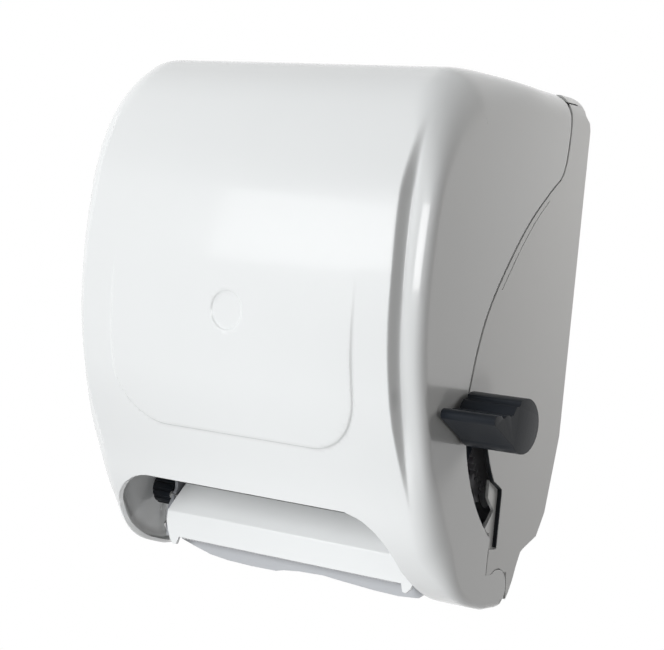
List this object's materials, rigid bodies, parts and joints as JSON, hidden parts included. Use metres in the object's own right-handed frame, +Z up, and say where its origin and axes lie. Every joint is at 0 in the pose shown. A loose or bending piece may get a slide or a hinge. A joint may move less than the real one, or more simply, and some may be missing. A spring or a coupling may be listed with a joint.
{
  "type": "lever paper towel dispenser",
  "caption": "Wall-mounted roll towel dispenser with a bulged cover hinged at the bottom, a side feed lever with a gear train, a drive roller, a tear bar and a roll holder inside.",
  "frame": {"origin": "centre of the four wall screw holes, on the housing's back face", "axes": "+X to the right of a person who faces the dispenser, +Y into the wall, +Z up"},
  "size_m": [0.368, 0.2351, 0.398],
  "materials": {
    "white_shell": "gloss",
    "grey_plastic": "satin",
    "natural_plastic": "satin",
    "dark_plastic": "satin",
    "black_plastic": "satin",
    "rubber": "matte",
    "steel": "brushed",
    "screw_steel": "satin",
    "chrome": "polished"
  },
  "bodies": {
    "housing": {"rear_housing": "white_shell", "left_frame": "grey_plastic", "right_frame": "grey_plastic", "frame_screws": "screw_steel", "chute_nose": "white_shell", "nose_screws": "screw_steel", "tear_bar": "steel", "tear_bar_screws": "screw_steel", "chute_lip": "white_shell", "paper_guide": "grey_plastic", "roller_bushes": "natural_plastic", "lever_pivot_pin": "steel", "idler_pin": "steel", "pivot_washers": "steel", "lever_bumper": "rubber", "slot_liner": "black_plastic", "return_spring": "steel", "latch_strike": "steel", "strike_screws": "screw_steel", "left_roll_arm": "grey_plastic", "arm_bracket": "grey_plastic", "arm_screws": "screw_steel", "arm_pin": "steel"},
    "cover": {"front_cover": "white_shell", "hinge_pins": "steel", "lock_nut": "chrome", "lock_barrel": "chrome"},
    "lock": {"lock_cylinder": "chrome", "lock_cam": "steel", "cam_screw": "screw_steel"},
    "lever": {"lever_arm": "black_plastic", "sector_gear": "dark_plastic", "lever_grip": "black_plastic", "grip_screw": "screw_steel"},
    "idler": {"idler_gear": "dark_plastic"},
    "drive_roller": {"drive_shaft": "steel", "roller_sleeves": "rubber", "drive_pinion": "dark_plastic", "clutch_hub": "steel", "feed_knob": "black_plastic"},
    "carrier": {"pressure_carrier": "grey_plastic"},
    "pressure_roller": {"pressure_shaft": "steel", "pressure_sleeves": "rubber"},
    "right_arm": {"right_roll_arm": "grey_plastic"},
    "right_hub": {"right_core_hub": "black_plastic"},
    "left_hub": {"left_core_hub": "black_plastic"}
  },
  "joints": [
    {"name": "cover_hinge", "type": "hinge", "parent": "housing", "child": "cover", "pos_m": [0, -0.078, -0.225], "axis": [1, 0, 0], "range_deg": [0, 92]},
    {"name": "lock_turn", "type": "hinge", "parent": "cover", "child": "lock", "pos_m": [0, -0.06, 0.138], "axis": [0, 0, 1], "range_deg": [-90, 0]},
    {"name": "lever_swing", "type": "hinge", "parent": "housing", "child": "lever", "pos_m": [0, -0.017, -0.08], "axis": [1, 0, 0], "range_deg": [0, 36], "stiffness_Nm_per_rad": 0.9, "springref_deg": -28.65, "deforming": ["return_spring"]},
    {"name": "idler_spin", "type": "hinge", "parent": "housing", "child": "idler", "pos_m": [0, -0.09794, -0.15449], "axis": [1, 0, 0], "range_deg": [-250, 1]},
    {"name": "drive_spin", "type": "hinge", "parent": "housing", "child": "drive_roller", "pos_m": [0, -0.104, -0.192], "axis": [1, 0, 0], "range_deg": [-1, 540]},
    {"name": "carrier_swing", "type": "hinge", "parent": "housing", "child": "carrier", "pos_m": [0, -0.134, -0.156], "axis": [1, 0, 0], "range_deg": [0, 8], "stiffness_Nm_per_rad": 0.8, "springref_deg": -6.88},
    {"name": "pressure_spin", "type": "hinge", "parent": "carrier", "child": "pressure_roller", "pos_m": [0, -0.11258, -0.1736], "axis": [1, 0, 0], "range_deg": [-810, 1]},
    {"name": "right_arm_swing", "type": "hinge", "parent": "housing", "child": "right_arm", "pos_m": [0.108, -0.018, 0.028], "axis": [0, 0, 1], "range_deg": [0, 12], "stiffness_Nm_per_rad": 2, "springref_deg": -5.73},
    {"name": "right_hub_spin", "type": "hinge", "parent": "right_arm", "child": "right_hub", "pos_m": [0.101, -0.115, 0.028], "axis": [1, 0, 0], "continuous": true},
    {"name": "left_hub_spin", "type": "hinge", "parent": "housing", "child": "left_hub", "pos_m": [-0.101, -0.115, 0.028], "axis": [1, 0, 0], "continuous": true}
  ],
  "couplings": [
    {"joint": "idler_spin", "follows": "lever_swing", "ratio": -6.8571},
    {"joint": "drive_spin", "follows": "lever_swing", "ratio": 14.857},
    {"joint": "pressure_spin", "follows": "lever_swing", "ratio": -22.286}
  ]
}
